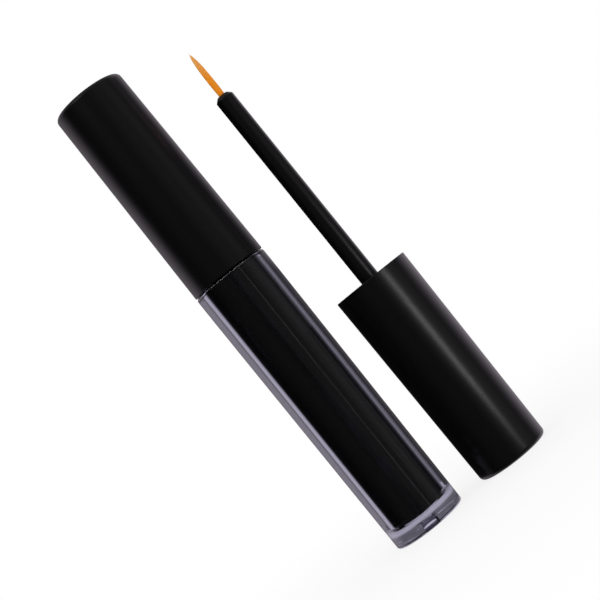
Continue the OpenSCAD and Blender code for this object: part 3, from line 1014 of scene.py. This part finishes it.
def studio_room():
    """A soft room: white to the camera, an even light to dull surfaces, and panels in gloss and through
    the clear plastic."""
    world = bpy.data.worlds.new("soft_studio")
    bpy.context.scene.world = world
    world.use_nodes = True
    # The kind of a ray is only known where the ray itself meets the room, so the room isn't sampled.
    world.cycles.sampling_method = "NONE"
    tree = world.node_tree
    tree.nodes.clear()
    direction = add(tree, "ShaderNodeTexCoord").outputs["Generated"]
    axes = add(tree, "ShaderNodeSeparateXYZ", {0: direction})
    compass = add(tree, "ShaderNodeMath", {0: axes.outputs["X"], 1: axes.outputs["Y"]}, operation="ARCTAN2")
    turn = add(tree, "ShaderNodeMapRange", {"Value": compass, "From Min": -math.pi, "From Max": math.pi})
    walls = add(tree, "ShaderNodeValToRGB", {"Fac": turn}, room_stops(ROOM, LILAC_SIDES))
    through = add(tree, "ShaderNodeValToRGB", {"Fac": turn}, room_stops(ROOM_THROUGH))
    height = axes.outputs["Z"]
    overhead, *above = [
        (add(tree, "ShaderNodeMapRange", {"Value": height, "From Min": start, "From Max": end}), grey(level))
        for start, end, level in (CEILING, *RISE_THROUGH)
    ]
    ray = add(tree, "ShaderNodeLightPath")
    shade = layered(tree, walls, [
        overhead,
        (ray.outputs["Is Transmission Ray"], layered(tree, through, above)),
        (ray.outputs["Diffuse Depth"], grey(OPEN_SHADE)),
        (ray.outputs["Is Camera Ray"], grey(1.0)),
    ])
    backdrop = add(tree, "ShaderNodeBackground", {"Color": shade, "Strength": 1.0})
    add(tree, "ShaderNodeOutputWorld", {"Surface": backdrop})


def area_light(name, place, aim, width, height, watts):
    """A soft rectangular lamp that the camera doesn't see."""
    lamp = bpy.data.lights.new(name, "AREA")
    lamp.shape = "RECTANGLE"
    lamp.size = width
    lamp.size_y = height
    lamp.energy = watts
    made = bpy.data.objects.new(name, lamp)
    bpy.context.collection.objects.link(made)
    made.location = place
    made.rotation_euler = (aim - place).to_track_quat("-Z", "Y").to_euler()
    made.visible_camera = False
    return made


def pale_paper(stage):
    """Matt paper: white to the camera with a soft shadow, and through the clear plastic in rings of painted
    glow and painted shadow.
    """
    made, tree = material("pale_paper")
    place = add(tree, "ShaderNodeTexCoord").outputs["Object"]
    far = add(tree, "ShaderNodeVectorMath", {0: place}, operation="LENGTH")
    away = add(tree, "ShaderNodeVectorMath", {0: place, 1: (CLOSED_X, 0, 0)}, operation="DISTANCE")
    ray = add(tree, "ShaderNodeLightPath")
    through = ray.outputs["Is Transmission Ray"]

    def ring(ends, inside, outside):
        """A value that changes between two distances from the bottle's axis."""
        return add(
            tree, "ShaderNodeMapRange",
            {"Value": away.outputs["Value"], "From Min": ends[0], "From Max": ends[1],
             "To Min": inside, "To Max": outside},
        )

    fade = add(
        tree, "ShaderNodeMapRange",
        {"Value": far.outputs["Value"], "From Min": SHADOW_START,
         "From Max": stage.floor_radius * SHADOW_END_SHARE, "To Min": PAPER_WHITE_SHARE, "To Max": 1.0},
    )
    # Painted shadow: seen through the clear plastic, the paper is painted grey in a ring round the bottle.
    painted_shadow = ring(PAINTED_SHADOW_ENDS, through, 0.0)
    paper = add(
        tree, "ShaderNodeBsdfDiffuse", {"Color": layered(tree, stage.floor, [(painted_shadow, grey(PAINTED_SHADOW_GREY))])}
    )
    glow = add(tree, "ShaderNodeEmission", {"Color": grey(1.0), "Strength": 1.0})
    seen = add(tree, "ShaderNodeMixShader", {0: fade, 1: paper, 2: glow})
    white = add(tree, "ShaderNodeMixShader", {0: ray.outputs["Is Camera Ray"], 1: paper, 2: seen})
    # Painted glow: seen through the clear plastic, the paper glows fully under the bottle and faintly past
    # the painted shadow, in place of light that the clear walls bring there.
    outside = add(tree, "ShaderNodeMath", {0: through, 1: painted_shadow}, operation="SUBTRACT")
    painted_glow_around = add(tree, "ShaderNodeMath", {0: outside, 1: PAINTED_FAINT_GLOW}, operation="MULTIPLY")
    lit = add(tree, "ShaderNodeMixShader", {0: ring(PAINTED_GLOW_ENDS, through, painted_glow_around), 1: white, 2: glow})
    open_room = add(tree, "ShaderNodeBsdfTransparent")
    ended = add(tree, "ShaderNodeMixShader", {0: ring(PAPER_ENDS, 0.0, through), 1: lit, 2: open_room})
    return finished(made, ended)


def grey_card():
    """Card whose face towards the closed set grows brighter from its front edge back, with a dark back."""
    made, tree = material("grey_card")
    place = add(tree, "ShaderNodeSeparateXYZ", {0: add(tree, "ShaderNodeTexCoord").outputs["Object"]})
    by_bottle, by_cap = [
        add(
            tree, "ShaderNodeMapRange",
            {"Value": place.outputs["Y"], "From Min": start, "From Max": end,
             "To Min": dim, "To Max": bright},
        )
        for start, end, dim, bright in (CARD_BY_BOTTLE, CARD_BY_CAP)
    ]
    graded = add(
        tree, "ShaderNodeMapRange",
        {"Value": place.outputs["Z"], "From Min": CARD_CHANGE[0], "From Max": CARD_CHANGE[1],
         "To Min": by_bottle, "To Max": by_cap},
    )
    side = add(tree, "ShaderNodeNewGeometry")
    shade = add(
        tree, "ShaderNodeMix",
        {"Factor": side.outputs["Backfacing"], "A": CARD_BY_LOOSE, "B": graded}, data_type="FLOAT",
    )
    glow = add(tree, "ShaderNodeEmission", {"Color": grey(1.0, LILAC), "Strength": shade.outputs["Result"]})
    return finished(made, glow)


def graded_card(left, right):
    """Card whose brightness changes from its left edge to its right one."""
    made, tree = material("graded_card")
    place = add(tree, "ShaderNodeSeparateXYZ", {0: add(tree, "ShaderNodeTexCoord").outputs["Object"]})
    across = add(
        tree, "ShaderNodeMapRange", {"Value": place.outputs["X"], "From Min": left, "From Max": right}
    )
    shade = add(
        tree, "ShaderNodeValToRGB", {"Fac": across},
        [((CLOSED_X + offset - left) / (right - left), grey(level)) for offset, level in BACK_CARD],
    )
    glow = add(tree, "ShaderNodeEmission", {"Color": shade})
    return finished(made, glow)


def hang_card(name, centre, axis, sides, finish, kind):
    """Hangs a card that a quarter turn about an axis has set upright, seen in one kind of ray alone."""
    bm = bmesh.new()
    bmesh.ops.create_grid(bm, x_segments=1, y_segments=1, size=0.5)
    upright = Matrix.Rotation(math.pi / 2, 4, axis)
    place = Matrix.Translation(centre) @ upright @ Matrix.Diagonal((*sides, 1, 1))
    bmesh.ops.transform(bm, matrix=place, verts=bm.verts[:])
    card = as_object(bm, name)
    card.data.materials.append(finish)
    for other in RAY_KINDS:
        setattr(card, other, other == kind)
    card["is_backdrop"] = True


class EYELINER_OT_stage(bpy.types.Operator):
    """Lay the floor, light the set and place the camera"""

    bl_idname = "eyeliner.stage"
    bl_label = "Stage, light and camera"

    def execute(self, context):
        sizes = context.scene.eyeliner_stage
        self.lay_floor(sizes)
        studio_room()
        self.hang_cards(sizes)
        self.set_lamps(sizes)
        self.place_camera(context, sizes)
        context.scene.view_settings.view_transform = "Standard"
        return {"FINISHED"}

    def lay_floor(self, sizes):
        """Lays a round sheet of paper."""
        bm = bmesh.new()
        bmesh.ops.create_circle(bm, cap_ends=True, segments=FLOOR_STEPS, radius=sizes.floor_radius)
        floor = as_object(bm, "paper_floor")
        floor.data.materials.append(pale_paper(sizes))
        # The black plastics mirror the dark room and not the paper.
        floor.visible_glossy = False
        floor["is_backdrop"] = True

    def hang_cards(self, sizes):
        """Hangs a card that the gloss shows, and a small one that shows through the clear plastic."""
        between = (0, sizes.card_depth / 2 - sizes.card_front, CAP_HIGH.z / 2)
        sides = (CAP_HIGH.z, sizes.card_depth)
        hang_card("grey_card", between, "Y", sides, grey_card(), "visible_glossy")
        left, right = (CLOSED_X + BACK_CARD[end][0] for end in (0, -1))
        behind = ((left + right) / 2, sizes.back_card, (CAP_LOW.z + LIQUID_LOW.z) / 2)
        sides = (right - left, CAP_LOW.z - LIQUID_LOW.z)
        hang_card("back_card", behind, "X", sides, graded_card(left, right), "visible_transmission")

    def set_lamps(self, sizes):
        """Sets a soft lamp in front for all, and one lamp each for some of the pieces alone."""
        middle = Vector((0, 0, CAP_HIGH.z / 2))
        area_light("key_softbox", KEY_PLACE, middle, KEY_SIDE, KEY_SIDE, sizes.key_power)
        strip = area_light(
            "strip_light", STRIP_PLACE, Vector((LOOSE_X, 0, STRIP_PLACE.z)), sizes.strip_width,
            sizes.strip_height, sizes.strip_power,
        )
        brush_light = area_light(
            "brush_light", BRUSH_LIGHT_PLACE, Vector((LOOSE_X, 0, STEM_HIGH.z)), BRUSH_LIGHT_SIDE,
            BRUSH_LIGHT_SIDE, sizes.brush_power,
        )
        canopy = area_light(
            "canopy", CANOPY_PLACE, Vector((*CANOPY_PLACE.xy, 0)), sizes.canopy_side, sizes.canopy_side,
            sizes.canopy_power,
        )
        # The strip lights only the loose applicator, the canopy only the clear bottle, and the brush's
        # lamp only the loose brush.
        loose = [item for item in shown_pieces() if body_of(item) == ["loose_applicator"]]
        bottle = bpy.data.objects["clear_bottle"]
        brush = bpy.data.objects["loose_brush_hairs"]
        for lamp, items in ((strip, loose), (canopy, [bottle]), (brush_light, [brush])):
            lit = bpy.data.collections.new(f"lit_by_{lamp.name}")
            for item in items:
                lit.objects.link(item)
            lamp.light_linking.receiver_collection = lit

    def place_camera(self, context, sizes):
        """Places a camera that looks slightly up at the set, turned as the photograph's is."""
        data = bpy.data.cameras.new("camera")
        data.angle = sizes.field
        data.clip_start = NEAREST_SEEN
        camera = bpy.data.objects.new("camera", data)
        place = Matrix.Translation((sizes.camera_x, -sizes.distance, sizes.eye_level))
        aim = Matrix.Rotation(math.pi / 2 + sizes.pitch, 4, "X") @ Matrix.Rotation(-sizes.roll, 4, "Z")
        camera.matrix_world = place @ aim
        bpy.context.collection.objects.link(camera)
        context.scene.camera = camera


OPERATORS = [
    EYELINER_OT_bottle,
    EYELINER_OT_liquid,
    EYELINER_OT_seals,
    EYELINER_OT_stems,
    EYELINER_OT_brushes,
    EYELINER_OT_inserts,
    EYELINER_OT_caps,
    EYELINER_OT_stage,
]


class EYELINER_PT_sidebar(bpy.types.Panel):
    """Lists the sizes and the pieces"""

    bl_label = "Liquid Eyeliner Bottle"
    bl_idname = "EYELINER_PT_sidebar"
    bl_space_type = "VIEW_3D"
    bl_region_type = "UI"
    bl_category = "Eyeliner"

    def draw(self, context):
        for operator in OPERATORS:
            self.layout.operator(operator.bl_idname)
        for group in GROUPS:
            box = self.layout.box()
            values = getattr(context.scene, group)
            for name in values.bl_rna.properties.keys():
                if name not in ("rna_type", "name"):
                    box.prop(values, name)


def register():
    """Adds the sizes to the scene, and the operators and the panel to Blender."""
    for group, kind in GROUPS.items():
        bpy.utils.register_class(kind)
        setattr(bpy.types.Scene, group, bpy.props.PointerProperty(type=kind))
    for kind in [*OPERATORS, EYELINER_PT_sidebar]:
        bpy.utils.register_class(kind)


def unregister():
    """Takes away all that register adds."""
    for kind in [EYELINER_PT_sidebar, *reversed(OPERATORS)]:
        bpy.utils.unregister_class(kind)
    for group, kind in reversed(GROUPS.items()):
        delattr(bpy.types.Scene, group)
        bpy.utils.unregister_class(kind)


def main():
    """Makes every piece and the stage."""
    register()
    for operator in OPERATORS:
        category, name = operator.bl_idname.split(".")
        getattr(getattr(bpy.ops, category), name)()


if __name__ == "__main__":
    main()
